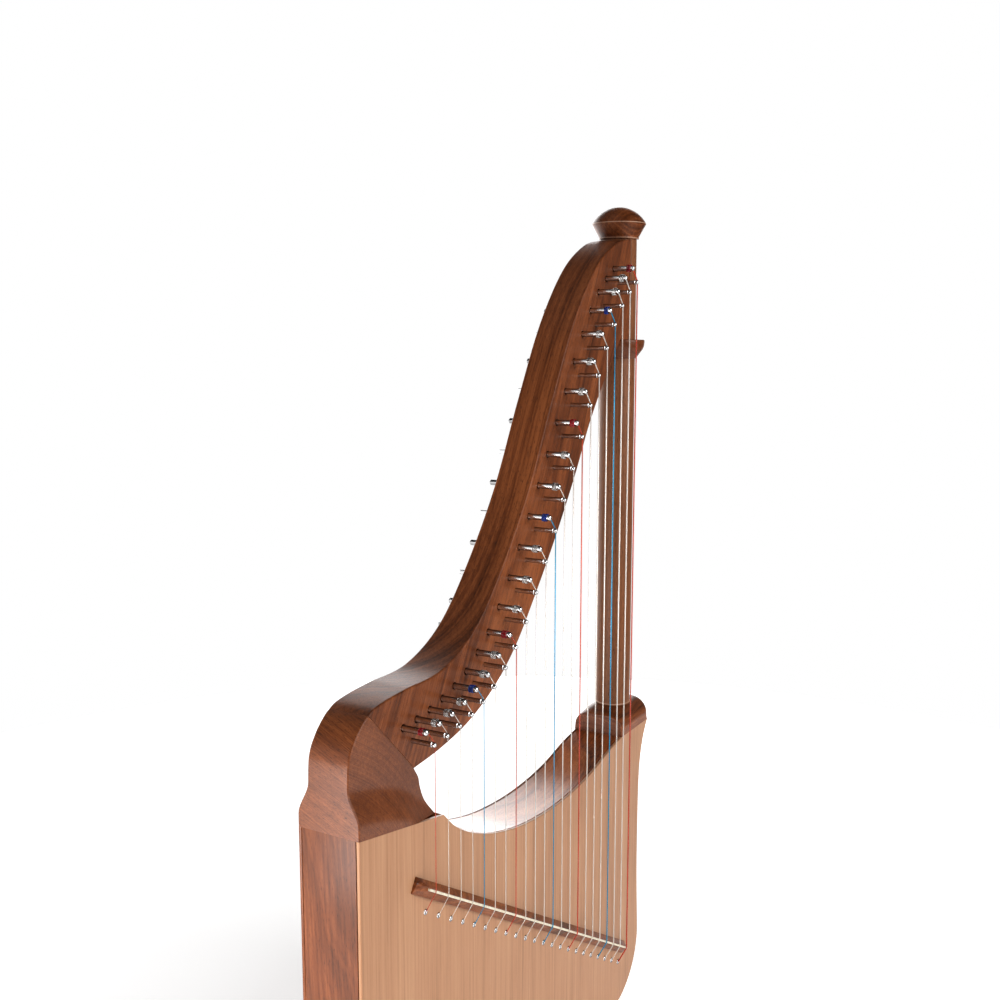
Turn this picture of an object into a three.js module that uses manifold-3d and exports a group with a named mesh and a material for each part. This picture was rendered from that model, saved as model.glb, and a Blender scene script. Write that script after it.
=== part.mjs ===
// Twenty-two-string frame harp whose strings run parallel to a flat soundboard.
//
// Everything is drawn in the harp's own drawing frame, in millimetres: x runs along the band of
// strings from the shortest string to the column, y runs from the player's string side to the
// back, and z is up. Zero is where the bridge pin of string 1 leaves the front face of the neck.
// The outer group then moves the whole harp so that its origin is under the middle of its base.

import * as THREE from "three";
import { mergeVertices } from "three/addons/utils/BufferGeometryUtils.js";
import Module from "manifold-3d";

const manifold = await Module();
manifold.setup();

// ---- driving dimensions ----------------------------------------------------------------------

const GAP = 0.3; // left between pieces that touch

const STRINGS = 22;
const TREBLE_SPACING = 17.1;
const BASS_SPACING = 16.2;
const STRING_PLANE = -18.5; // the strings hang this far in front of the neck
const STRING_RADIUS_TREBLE = 0.25;
const STRING_RADIUS_BASS = 0.62;

const NECK_BACK = 34; // the neck's front face is y = 0
const MID_PLANE = NECK_BACK / 2;

const BOX_FRONT = -9;
const BOX_BACK = 43;
const SOUNDBOARD = 2.7;
const BACK_PANEL = 3;
const RIB = 12;
const BOX_LEFT = -75.5;
const BOX_RIGHT = 419;
const BOX_TOP_AT_COLUMN = -106;
const BOX_BOTTOM = -390;
const CORNER = 60;
const SOUND_HOLE = { x: 78, z: -286, radius: 38 };

const COLUMN_X = 388;
const COLUMN_RADIUS = 17.3;
const COLUMN_TOP = 382;
const COLLAR_TOP = 286;
const FOOT_TOP = -82;
const FOOT_LEFT = 353.5;
const FOOT_ROUND = 17;
const TENON = { radius: 10, depth: 16 };

const PIN_OFFSET = { x: -10.4, z: 12.3 }; // from a bridge pin to the tuning pin of its string
const PIN_TIP = -21;
const PIN_COIL = { from: -18.3, to: -12.7, leave: -17.5, radius: 3.2 };
const PIN_FRONT_RADIUS = 2.4;
const PIN_NOSE_RADIUS = 2.1; // in front of the coil
const PIN_BACK_RADIUS = 2.5;
const PIN_HEAD = { from: 37, to: 47, width: 4.2 };
const BRIDGE_PIN_RADIUS = 1.9;
const GROOVE_RADIUS = 1.4;
const GROOVE_WIDTH = 1.8;
const BRIDGE_PIN_TIP = -20.9;

// The soundboard bridge, from the foot of string 1 to the foot of the last string.
const BRIDGE_TREBLE = { x: 0, z: -110 };
const BRIDGE_BASS = { x: 350, z: -325 };
const BRIDGE_OVERHANG = 16;
const BRIDGE_HEIGHT = 8.6;
const HITCH_DROP = 18; // the strings enter the soundboard this far below the bridge
const STRING_BAR = { width: 14, depth: 8, before: 30, after: 14 };
const SOUNDBOARD_BRACE = { foot: 8, top: 5, depth: 13, above: 50, from: 142, to: 412 };
const BACK_BRACE = { foot: 10, top: 7, depth: 11, height: -232 };
const CORNER_BLOCK_LEAN = 8; // the end of the upper rib slants in by this much, in its thickness

// ---- outlines, as [x, z] points that smooth curves pass through --------------------------------

const NECK_JOINT = [[-51, 33], [3, -22]]; // the glued joint between the shoulder and the neck
const NECK_TOP = [[-44, 35.9], [-28, 38.2], [-5, 39.6], [42, 41.8], [88, 62], [130, 103], [175, 162],
  [215, 233], [256, 300], [300, 349], [343, 374], [378, 381.5]];
const NECK_UNDERSIDE = [[357, COLLAR_TOP + GAP], [325, 251], [292, 211], [262, 165], [225, 115],
  [190, 73], [155, 35], [120, 9], [80, -9], [40, -18], NECK_JOINT[1]];
const PIN_LINE = [[0, 0], [35, 4], [70, 13.4], [98, 28], [137, 62], [202, 151], [268, 254],
  [300, 298], [325, 323], [350, 339]];

const SHOULDER_OUTSIDE = [[BOX_LEFT, -17], [-74, 6], [-67, 19.5], [-57, 29.4], NECK_JOINT[0]];
const SHOULDER_INSIDE = [NECK_JOINT[1], [8.5, -30], [10.5, -38], [16, -50], [28, -64.5]];
const BOX_SEAM = [[BOX_LEFT, -45], [28, -64.5]]; // the shoulder block ends and the box begins
const BOX_STEP = [[-77, -11], [-38, -21], [-8, -33], [18, -51]]; // the shoulder thickens here
const BOX_TOP = [BOX_SEAM[1], [46, -81], [72, -96], [106, -109], [150, -119.5], [200, -124.5],
  [245, -124], [285, -119.5], [325, -110.5], [FOOT_LEFT, BOX_TOP_AT_COLUMN]];
const BOX_SIDE = [[BOX_RIGHT, BOX_TOP_AT_COLUMN], [408, -124], [400.5, -150], [398, -190],
  [398, -260], [402, BOX_BOTTOM + CORNER]];

// ---- geometry helpers --------------------------------------------------------------------------

const points = (list) => list.map(([x, z]) => new THREE.Vector2(x, z));
const curve = (list) => new THREE.SplineCurve(points(list));

function solid(geometry) {
  const bare = geometry.clone();
  bare.deleteAttribute("normal");
  bare.deleteAttribute("uv");
  const merged = mergeVertices(bare, 1e-4);
  return new manifold.Manifold(new manifold.Mesh({
    numProp: 3,
    vertProperties: merged.attributes.position.array,
    triVerts: new Uint32Array(merged.index.array),
  }));
}

function geometryOf(body) {
  const mesh = body.getMesh();
  const geometry = new THREE.BufferGeometry();
  geometry.setAttribute("position", new THREE.BufferAttribute(mesh.vertProperties, 3));
  geometry.setIndex(new THREE.BufferAttribute(mesh.triVerts, 1));
  return geometry;
}

// The corner points of an outline, without the doubles that appear where two curves meet.
function cornersOf(path, segments) {
  const all = path.getPoints(segments);
  return all.filter((point, index) => point.distanceTo(all[(index + 1) % all.length]) > 0.01);
}

// A flat board: an outline in x and z with its faces at two values of y.
function board(shape, front, back, segments = 3) {
  const outline = new THREE.Shape(cornersOf(shape, segments));
  outline.holes = shape.holes.map((hole) => new THREE.Path(cornersOf(hole, 2 * segments)));
  const geometry = new THREE.ExtrudeGeometry(outline, {
    depth: back - front,
    bevelEnabled: false,
  });
  geometry.rotateX(Math.PI / 2);
  geometry.translate(0, back, 0);
  return geometry;
}

// A round piece turned about a y axis through (x, z), from its [radius, y] outline.
function turnedAboutY(outline, sides, x, z) {
  const geometry = new THREE.LatheGeometry(points(outline), sides);
  geometry.translate(x, 0, z);
  return geometry;
}

// A round piece turned about the column's axis, from its [radius, z] outline.
function turnedAboutColumn(outline, sides) {
  const geometry = new THREE.LatheGeometry(points(outline), sides);
  geometry.rotateX(Math.PI / 2);
  geometry.translate(COLUMN_X, MID_PLANE, 0);
  return geometry;
}

// The same curve, moved sideways by a distance to the right of its direction.
function besideCurve(list, distance, count) {
  const path = curve(list);
  const result = [];
  for (let step = 0; step <= count; step += 1) {
    const point = path.getPoint(step / count);
    const tangent = path.getTangent(step / count);
    result.push([point.x + tangent.y * distance, point.y - tangent.x * distance]);
  }
  return result;
}

function heightAt(list, x) {
  const path = curve(list);
  let low = 0;
  let high = 1;
  for (let step = 0; step < 30; step += 1) {
    const middle = (low + high) / 2;
    if (path.getPoint(middle).x < x) low = middle;
    else high = middle;
  }
  return path.getPoint(low).y;
}

// ---- strings and pins: where each one is --------------------------------------------------------

function stringX(index) {
  const narrowing = (TREBLE_SPACING - BASS_SPACING) / (2 * (STRINGS - 1));
  return TREBLE_SPACING * index - narrowing * index * index;
}

function bridgePinAt(index) {
  const x = stringX(index);
  return new THREE.Vector2(x, heightAt(PIN_LINE, x));
}

function tuningPinAt(index) {
  const pin = bridgePinAt(index);
  return new THREE.Vector2(pin.x + PIN_OFFSET.x, pin.y + PIN_OFFSET.z);
}

function stringRadius(index) {
  return THREE.MathUtils.lerp(STRING_RADIUS_TREBLE, STRING_RADIUS_BASS, index / (STRINGS - 1));
}

const bridgeAxis = new THREE.Vector2(
  BRIDGE_BASS.x - BRIDGE_TREBLE.x,
  BRIDGE_BASS.z - BRIDGE_TREBLE.z,
);
const bridgeLength = bridgeAxis.length();
bridgeAxis.normalize();

function bridgeHeightAt(x) {
  return BRIDGE_TREBLE.z + (x - BRIDGE_TREBLE.x) * bridgeAxis.y / bridgeAxis.x;
}

// ---- wooden frame -------------------------------------------------------------------------------

function neck() {
  const shape = new THREE.Shape();
  shape.moveTo(...NECK_JOINT[0]);
  shape.splineThru(points(NECK_TOP));
  shape.lineTo(NECK_TOP.at(-1)[0], COLLAR_TOP + GAP);
  shape.lineTo(...NECK_UNDERSIDE[0]);
  shape.splineThru(points(NECK_UNDERSIDE.slice(1)));
  let body = solid(board(shape, 0, NECK_BACK));
  const cope = [[0, COLLAR_TOP - 10], [COLUMN_RADIUS + GAP, COLLAR_TOP - 10],
    [COLUMN_RADIUS + GAP, COLUMN_TOP + 10], [0, COLUMN_TOP + 10]];
  body = body.subtract(solid(turnedAboutColumn(cope, 24)));
  const boreRadius = PIN_BACK_RADIUS + 0.5;
  for (let index = 0; index < STRINGS; index += 1) {
    const tuning = tuningPinAt(index);
    const bore = [[0, -5], [boreRadius, -5], [boreRadius, NECK_BACK + 5], [0, NECK_BACK + 5]];
    body = body.subtract(solid(turnedAboutY(bore, 8, tuning.x, tuning.y)));
    const pin = bridgePinAt(index);
    body = body.add(solid(turnedAboutY(bridgePinOutline(), 6, pin.x, pin.y)));
  }
  return geometryOf(body);
}

// A plain steel pin with a groove for the string just short of its rounded tip.
function bridgePinOutline() {
  const grooveFront = STRING_PLANE - GROOVE_WIDTH / 2;
  const grooveBack = STRING_PLANE + GROOVE_WIDTH / 2;
  return [[0, BRIDGE_PIN_TIP], [BRIDGE_PIN_RADIUS, BRIDGE_PIN_TIP + 0.4],
    [BRIDGE_PIN_RADIUS, grooveFront], [GROOVE_RADIUS, STRING_PLANE],
    [BRIDGE_PIN_RADIUS, grooveBack], [BRIDGE_PIN_RADIUS, 2], [0, 2]];
}

// The block that turns the corner between the neck and the soundbox: as thin as the neck above,
// and as deep as the soundbox below the step.
function shoulderBlock() {
  const joint = points(NECK_JOINT);
  const away = joint[1].clone().sub(joint[0]).normalize();
  const back = new THREE.Vector2(away.y, -away.x).multiplyScalar(GAP);
  const shape = new THREE.Shape();
  shape.moveTo(...BOX_SEAM[0]);
  shape.lineTo(...SHOULDER_OUTSIDE[0]);
  shape.splineThru([...points(SHOULDER_OUTSIDE.slice(1, -1)), joint[0].clone().add(back)]);
  const inside = points(SHOULDER_INSIDE);
  shape.lineTo(inside[0].x + back.x, inside[0].y + back.y);
  shape.splineThru(inside.slice(1));
  const lower = new THREE.Shape();
  lower.moveTo(...BOX_STEP[0]);
  lower.splineThru(points(BOX_STEP.slice(1)));
  lower.lineTo(BOX_STEP.at(-1)[0] + 20, BOX_STEP.at(-1)[1] - 10);
  lower.lineTo(BOX_STEP.at(-1)[0] + 20, -80);
  lower.lineTo(BOX_STEP[0][0], -80);
  const deep = solid(board(shape, BOX_FRONT, BOX_BACK)).intersect(
    solid(board(lower, BOX_FRONT - 1, BOX_BACK + 1)),
  );
  return geometryOf(solid(board(shape, 0, NECK_BACK)).add(deep));
}

function column() {
  const tenonEnd = FOOT_TOP - TENON.depth;
  return turnedAboutColumn([[0, tenonEnd], [TENON.radius, tenonEnd],
    [TENON.radius, FOOT_TOP + GAP], [COLUMN_RADIUS, FOOT_TOP + GAP],
    [COLUMN_RADIUS, COLUMN_TOP], [0, COLUMN_TOP]], 24);
}

// A turned knob: a short neck flaring out to a rim, with a shallow dome above it.
function columnCap() {
  const base = COLUMN_TOP + GAP;
  return turnedAboutColumn([[0, base], [18.6, base], [19, base + 1.5], [25.6, base + 13.6],
    [26.4, base + 15.5], [25.3, base + 17.5], [21.5, base + 22], [15.5, base + 26.8],
    [8, base + 30], [0, base + 31]], 24);
}

// The ring that the end of the neck stands on, flat above and rounded to the column below.
function columnCollar() {
  const bore = COLUMN_RADIUS + GAP;
  return turnedAboutColumn([[bore, COLLAR_TOP - 18.5], [bore + 0.6, COLLAR_TOP - 18.5],
    [21.5, COLLAR_TOP - 14], [25.4, COLLAR_TOP - 8], [26.6, COLLAR_TOP - 2],
    [26, COLLAR_TOP], [bore, COLLAR_TOP], [bore, COLLAR_TOP - 18.5]], 24);
}

// The block under the column: its profile in y and z is rounded over at the front and the back.
function footBlock() {
  const bottom = BOX_TOP_AT_COLUMN + GAP;
  const shape = new THREE.Shape();
  shape.moveTo(BOX_FRONT, bottom);
  shape.lineTo(BOX_BACK, bottom);
  shape.lineTo(BOX_BACK, FOOT_TOP - FOOT_ROUND);
  shape.absarc(BOX_BACK - FOOT_ROUND, FOOT_TOP - FOOT_ROUND, FOOT_ROUND, 0, Math.PI / 2);
  shape.lineTo(BOX_FRONT + FOOT_ROUND, FOOT_TOP);
  shape.absarc(BOX_FRONT + FOOT_ROUND, FOOT_TOP - FOOT_ROUND, FOOT_ROUND, Math.PI / 2, Math.PI);
  const geometry = new THREE.ExtrudeGeometry(shape, {
    depth: BOX_RIGHT - FOOT_LEFT,
    bevelEnabled: false,
    curveSegments: 4,
  });
  const alongX = new THREE.Matrix4().makeBasis(
    new THREE.Vector3(0, 1, 0),
    new THREE.Vector3(0, 0, 1),
    new THREE.Vector3(1, 0, 0),
  );
  geometry.applyMatrix4(alongX);
  geometry.translate(FOOT_LEFT, 0, 0);
  const socketEnd = FOOT_TOP - TENON.depth - GAP;
  const socket = turnedAboutColumn([[0, socketEnd], [TENON.radius + 0.6, socketEnd],
    [TENON.radius + 0.6, FOOT_TOP + 5], [0, FOOT_TOP + 5]], 16);
  return geometryOf(solid(geometry).subtract(solid(socket)));
}

// ---- soundbox -----------------------------------------------------------------------------------

function cornerArcs(shape, inset) {
  const radius = CORNER - inset;
  const right = BOX_SIDE.at(-1)[0] - CORNER;
  const left = BOX_LEFT + CORNER;
  const centre = BOX_BOTTOM + CORNER;
  if (inset === 0) {
    shape.absarc(right, centre, radius, 0, -Math.PI / 2, true);
    shape.absarc(left, centre, radius, -Math.PI / 2, -Math.PI, true);
  } else {
    shape.absarc(left, centre, radius, -Math.PI, -Math.PI / 2);
    shape.absarc(right, centre, radius, -Math.PI / 2, 0);
  }
}

// The outline that the soundboard and the back panel share.
function boxOutline() {
  const shape = new THREE.Shape();
  shape.moveTo(BOX_SEAM[0][0], BOX_SEAM[0][1] - GAP);
  shape.lineTo(BOX_SEAM[1][0], BOX_SEAM[1][1] - GAP);
  shape.splineThru(points(BOX_TOP.slice(1)));
  shape.lineTo(...BOX_SIDE[0]);
  shape.splineThru(points(BOX_SIDE.slice(1)));
  cornerArcs(shape, 0);
  return shape;
}

function soundboard() {
  const shape = boxOutline();
  const hole = new THREE.Path();
  hole.absarc(SOUND_HOLE.x, SOUND_HOLE.z, SOUND_HOLE.radius, 0, 2 * Math.PI);
  shape.holes.push(hole);
  return board(shape, BOX_FRONT, BOX_FRONT + SOUNDBOARD, 4);
}

function backPanel() {
  return board(boxOutline(), BOX_BACK - BACK_PANEL, BOX_BACK, 4);
}

function rib(shape) {
  return board(shape, BOX_FRONT + SOUNDBOARD + GAP, BOX_BACK - BACK_PANEL - GAP);
}

function upperRib() {
  const [seamX, seamZ] = BOX_SEAM[1];
  const start = [seamX, seamZ - GAP];
  const inside = besideCurve([start, ...BOX_TOP.slice(1)], RIB, 16).reverse();
  const underFoot = BOX_TOP_AT_COLUMN - RIB;
  const shape = new THREE.Shape();
  shape.moveTo(...start);
  shape.splineThru(points(BOX_TOP.slice(1)));
  shape.lineTo(...BOX_SIDE[0]);
  shape.lineTo(BOX_SIDE[0][0] - CORNER_BLOCK_LEAN, underFoot);
  shape.lineTo(FOOT_LEFT, underFoot);
  inside.slice(1, -1).forEach(([x, z]) => shape.lineTo(x, z));
  shape.lineTo(seamX - 12, seamZ + 1.9);
  return rib(shape);
}

function rightRib() {
  const top = BOX_TOP_AT_COLUMN - RIB - GAP;
  const bottom = BOX_BOTTOM + CORNER + GAP;
  const outside = BOX_SIDE.slice(1, -1);
  const inside = besideCurve([...outside, [BOX_SIDE.at(-1)[0], bottom]], RIB, 8).reverse();
  const shape = new THREE.Shape();
  shape.moveTo(BOX_SIDE[0][0] - CORNER_BLOCK_LEAN - GAP, top);
  shape.splineThru(points([...outside, [BOX_SIDE.at(-1)[0], bottom]]));
  shape.lineTo(BOX_SIDE.at(-1)[0] - RIB, bottom);
  inside.slice(1).forEach(([x, z]) => shape.lineTo(x, z));
  shape.lineTo(BOX_SIDE[1][0] - RIB, top);
  return rib(shape);
}

function leftRib() {
  const shape = new THREE.Shape();
  shape.moveTo(BOX_LEFT, BOX_SEAM[0][1] - GAP);
  shape.lineTo(BOX_LEFT + RIB, BOX_SEAM[0][1] - GAP - 2.3);
  shape.lineTo(BOX_LEFT + RIB, BOX_BOTTOM + CORNER + GAP);
  shape.lineTo(BOX_LEFT, BOX_BOTTOM + CORNER + GAP);
  return rib(shape);
}

function bottomRib() {
  const shape = new THREE.Shape();
  shape.moveTo(BOX_SIDE.at(-1)[0], BOX_BOTTOM + CORNER);
  cornerArcs(shape, 0);
  cornerArcs(shape, RIB);
  return rib(shape);
}

// ---- bridge, string bar and braces: straight bars ------------------------------------------------

// A bar between two [x, z] points. Its outline is [across, outward], outward being towards the
// front from the plane y = base.
function bar(outline, base, start, end) {
  const from = new THREE.Vector2(...start);
  const axis = new THREE.Vector2(...end).sub(from);
  const length = axis.length();
  axis.normalize();
  const geometry = new THREE.ExtrudeGeometry(new THREE.Shape(points(outline)), {
    depth: length,
    bevelEnabled: false,
  });
  const frame = new THREE.Matrix4().makeBasis(
    new THREE.Vector3(-axis.y, 0, axis.x),
    new THREE.Vector3(0, -1, 0),
    new THREE.Vector3(axis.x, 0, axis.y),
  );
  frame.setPosition(from.x, base, from.y);
  geometry.applyMatrix4(frame);
  return geometry;
}

// A section that narrows from its foot to its top, to the front or, if negative, to the back.
function taperedSection(foot, top, outward) {
  return [[-foot / 2, 0], [foot / 2, 0], [top / 2, outward], [-top / 2, outward]];
}

// A point beside the bridge: along it from string 1, and across it upwards.
function besideBridge(along, across) {
  return [
    BRIDGE_TREBLE.x + bridgeAxis.x * along - bridgeAxis.y * across,
    BRIDGE_TREBLE.z + bridgeAxis.y * along + bridgeAxis.x * across,
  ];
}

function bridge() {
  const outline = [[-6, 0], [6, 0], [6, 2.5], [1.2, BRIDGE_HEIGHT], [-1.2, BRIDGE_HEIGHT],
    [-6, 2.5]];
  return bar(outline, BOX_FRONT - GAP, besideBridge(-BRIDGE_OVERHANG, 0),
    besideBridge(bridgeLength + BRIDGE_OVERHANG, 0));
}

function stringBar() {
  const outline = taperedSection(STRING_BAR.width, STRING_BAR.width, -STRING_BAR.depth);
  const across = -HITCH_DROP * bridgeAxis.x;
  return bar(outline, BOX_FRONT + SOUNDBOARD + GAP, besideBridge(-STRING_BAR.before, across),
    besideBridge(bridgeLength + STRING_BAR.after, across));
}

function soundboardBrace() {
  const { foot, top, depth, above, from, to } = SOUNDBOARD_BRACE;
  return bar(taperedSection(foot, top, -depth), BOX_FRONT + SOUNDBOARD + GAP,
    besideBridge(from, above), besideBridge(to, above));
}

function backBrace() {
  const { foot, top, depth, height } = BACK_BRACE;
  const inset = RIB + 2;
  return bar(taperedSection(foot, top, depth), BOX_BACK - BACK_PANEL - GAP,
    [BOX_LEFT + inset, height], [BOX_SIDE[3][0] - inset, height]);
}

// ---- tuning pins and strings ----------------------------------------------------------------------

// A taper pin through the neck: coil of string and tip in front, square key end behind.
function tuningPin(index) {
  const { x, y: z } = tuningPinAt(index);
  const outline = [[0, PIN_TIP], [PIN_NOSE_RADIUS - 0.2, PIN_TIP + 0.3], [PIN_NOSE_RADIUS, PIN_COIL.from],
    [PIN_COIL.radius, PIN_COIL.from], [PIN_COIL.radius, PIN_COIL.to],
    [PIN_FRONT_RADIUS, PIN_COIL.to], [PIN_BACK_RADIUS, PIN_HEAD.from], [0, PIN_HEAD.from]];
  const head = new THREE.BoxGeometry(PIN_HEAD.width, PIN_HEAD.to - PIN_HEAD.from + 2,
    PIN_HEAD.width);
  head.translate(x, (PIN_HEAD.to + PIN_HEAD.from) / 2 - 1, z);
  return geometryOf(solid(turnedAboutY(outline, 8, x, z)).add(solid(head)));
}

// A route of straight stretches, which gives back exactly its own corner points.
class Route extends THREE.Curve {
  constructor(corners) {
    super();
    this.corners = corners;
  }

  getPoint(t) {
    const place = t * (this.corners.length - 1);
    const index = Math.min(Math.floor(place), this.corners.length - 2);
    return this.corners[index].clone().lerp(this.corners[index + 1], place - index);
  }

  getPointAt(u) {
    return this.getPoint(u);
  }

  getTangentAt(u) {
    const step = 0.5 / (this.corners.length - 1);
    const after = this.getPoint(Math.min(1, u + step));
    return after.sub(this.getPoint(Math.max(0, u - step))).normalize();
  }
}

// From the coil on the tuning pin, over the bridge pin's groove, straight down to the bridge,
// over it, and to the hole in the soundboard where the string goes in.
function stringRoute(index) {
  const radius = stringRadius(index);
  const pin = bridgePinAt(index);
  const tuning = tuningPinAt(index);
  const onPin = GROOVE_RADIUS + GAP + radius;
  const onCoil = PIN_COIL.radius + GAP + radius;
  const toTuning = tuning.clone().sub(pin);
  const lean = Math.asin((onCoil - onPin) / toTuning.length());
  const leave = toTuning.angle() - Math.PI / 2 + lean;
  const across = new THREE.Vector2(Math.cos(leave), Math.sin(leave));
  const route = [new THREE.Vector3(tuning.x + across.x * onCoil, PIN_COIL.leave,
    tuning.y + across.y * onCoil)];
  for (const angle of [leave, leave / 2, 0]) {
    route.push(new THREE.Vector3(pin.x + Math.cos(angle) * onPin, STRING_PLANE,
      pin.y + Math.sin(angle) * onPin));
  }
  const x = pin.x + onPin;
  const bridgeZ = bridgeHeightAt(x);
  const clearOfBoard = BOX_FRONT - GAP - radius;
  route.push(new THREE.Vector3(x, STRING_PLANE, bridgeZ + 1.5));
  route.push(new THREE.Vector3(x, STRING_PLANE, bridgeZ - 1.5));
  route.push(new THREE.Vector3(x, clearOfBoard, bridgeZ - HITCH_DROP));
  return route;
}

function string(index) {
  const route = stringRoute(index);
  const section = new THREE.Shape();
  section.absarc(0, 0, stringRadius(index), 0, 2 * Math.PI);
  return new THREE.ExtrudeGeometry(section, {
    steps: route.length - 1,
    extrudePath: new Route(route),
    bevelEnabled: false,
    curveSegments: 3,
  });
}

// ---- materials and assembly -------------------------------------------------------------------------

const material = (color, roughness, metalness = 0) => (
  () => new THREE.MeshStandardMaterial({ color, roughness, metalness })
);

const walnut = material(0x6b3f26, 0.35);
const darkWalnut = material(0x57321f, 0.4);
const spruce = material(0xcf9f77, 0.5);
const steel = material(0xb9bcc0, 0.2, 1);
const clearNylon = material(0xe9e9e4, 0.3);
const redNylon = material(0xb3271d, 0.3);
const blueNylon = material(0x1f5fa8, 0.3);

// Every C string is red and every F string blue, counted down from the top C.
function stringMaterial(index) {
  if (index % 7 === 0) return redNylon;
  if (index % 7 === 4) return blueNylon;
  return clearNylon;
}

const harp = new THREE.Group();
harp.position.set(-(BOX_LEFT + BOX_RIGHT) / 2, -(PIN_TIP + PIN_HEAD.to) / 2, -BOX_BOTTOM);

function place(name, geometry, makeMaterial) {
  const mesh = new THREE.Mesh(geometry, makeMaterial());
  mesh.name = name;
  harp.add(mesh);
}

place("neck", neck(), walnut);
place("shoulder_block", shoulderBlock(), walnut);
place("column", column(), walnut);
place("column_cap", columnCap(), walnut);
place("column_collar", columnCollar(), darkWalnut);
place("foot_block", footBlock(), darkWalnut);
place("upper_rib", upperRib(), walnut);
place("left_rib", leftRib(), walnut);
place("right_rib", rightRib(), walnut);
place("bottom_rib", bottomRib(), walnut);
place("soundboard", soundboard(), spruce);
place("back_panel", backPanel(), walnut);
place("bridge", bridge(), darkWalnut);
place("string_bar", stringBar(), spruce);
place("soundboard_brace", soundboardBrace(), spruce);
place("back_brace", backBrace(), spruce);
for (let index = 0; index < STRINGS; index += 1) {
  const number = String(index + 1).padStart(2, "0");
  place(`tuning_pin_${number}`, tuningPin(index), steel);
  place(`string_${number}`, string(index), stringMaterial(index));
}

const model = new THREE.Group();
model.add(harp);
export default model;
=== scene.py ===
import math

import bmesh
import bpy
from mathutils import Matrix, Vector
from mathutils.geometry import delaunay_2d_cdt, intersect_point_tri_2d, tessellate_polygon


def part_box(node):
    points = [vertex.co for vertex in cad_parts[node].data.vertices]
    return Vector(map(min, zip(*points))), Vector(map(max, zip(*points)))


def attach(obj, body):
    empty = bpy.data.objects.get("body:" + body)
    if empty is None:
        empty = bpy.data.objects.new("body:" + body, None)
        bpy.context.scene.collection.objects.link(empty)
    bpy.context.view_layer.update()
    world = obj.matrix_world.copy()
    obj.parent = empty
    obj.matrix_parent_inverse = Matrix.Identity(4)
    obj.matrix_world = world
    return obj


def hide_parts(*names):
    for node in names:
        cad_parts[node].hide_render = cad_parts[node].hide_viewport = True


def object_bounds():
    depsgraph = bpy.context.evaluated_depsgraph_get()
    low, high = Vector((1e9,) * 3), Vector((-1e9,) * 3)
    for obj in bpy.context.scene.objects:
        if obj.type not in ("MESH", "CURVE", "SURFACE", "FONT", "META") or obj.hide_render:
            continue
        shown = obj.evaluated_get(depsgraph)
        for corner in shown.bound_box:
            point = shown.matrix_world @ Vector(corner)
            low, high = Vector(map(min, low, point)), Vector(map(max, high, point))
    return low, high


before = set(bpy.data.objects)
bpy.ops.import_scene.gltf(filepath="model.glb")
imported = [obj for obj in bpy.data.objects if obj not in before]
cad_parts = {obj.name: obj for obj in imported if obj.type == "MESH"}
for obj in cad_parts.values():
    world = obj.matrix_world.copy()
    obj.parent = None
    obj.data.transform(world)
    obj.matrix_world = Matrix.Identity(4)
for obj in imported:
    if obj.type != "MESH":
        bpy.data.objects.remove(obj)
CAD_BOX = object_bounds()

# ---- the drawing frame -----------------------------------
# Shapes are drawn as part.mjs draws them, in millimetres: x from string 1 to the column, y from
# the string side to the back, z up, and zero where the bridge pin of string 1 leaves the neck.

MM = 0.001
BOX_LEFT = -75.5
BOX_FRONT = -9
BOX_BOTTOM = -390
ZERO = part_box("soundboard")[0] - Vector((BOX_LEFT, BOX_FRONT, BOX_BOTTOM)) * MM


def place(x, y, z):
    """A point of the drawing frame, in the row frame and in metres."""
    return ZERO + Vector((x, y, z)) * MM


def extent(node):
    """The lowest and the highest corner of a CAD node, in the drawing frame."""
    return [(corner - ZERO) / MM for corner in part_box(node)]


STRINGS = 22
TREBLE_SPACING = 17.1
BASS_SPACING = 16.2
STRING_PLANE = -18.5
STRING_RADIUS_TREBLE = 0.25
STRING_RADIUS_BASS = 0.62

NECK_BACK = 34
BOX_BACK = extent("back_panel")[1].y
SOUNDBOARD_BACK = extent("soundboard")[1].y
BACK_PANEL_FRONT = extent("back_panel")[0].y
BOX_RIGHT = extent("foot_block")[1].x
BOX_TOP_AT_COLUMN = -106
RIB = 12
GLUE_LINE = 0.35
CORNER = 60
CORNER_BLOCK_LEAN = 8
SOUND_HOLE = {"x": 78, "z": -286, "radius": 38}

COLUMN_X, COLUMN_Y, _ = (extent("column")[0] + extent("column")[1]) / 2
COLUMN_RADIUS = 17.3
COLUMN_TOP = extent("column")[1].z
COLLAR_TOP = extent("column_collar")[1].z
FOOT_TOP = extent("foot_block")[1].z
FOOT_LEFT = extent("foot_block")[0].x
FOOT_ROUND = 17

PIN_OFFSET = (-10.4, 12.3)
PIN_TIP = -21
PIN_FRONT_RADIUS = 2.4
PIN_BACK_RADIUS = 2.5
PIN_HEAD = {"from": 37, "to": 47, "width": 3.9}
COIL_END = -17.4
COIL_TURNS = (7, 2.6)
TURN_PITCH = 2.12
BRIDGE_PIN_RADIUS = 1.85
BRIDGE_PIN_BALL = 1.95
GROOVE_RADIUS = 1.5

BRIDGE_TREBLE = Vector((0, -110))
BRIDGE_BASS = Vector((350, -325))
BRIDGE_OVERHANG = 16
BRIDGE_TOP = -17.9
HITCH_DROP = 18

# ---- outlines --------------------------------------------
# Points [x, z] that smooth curves pass through.

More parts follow.
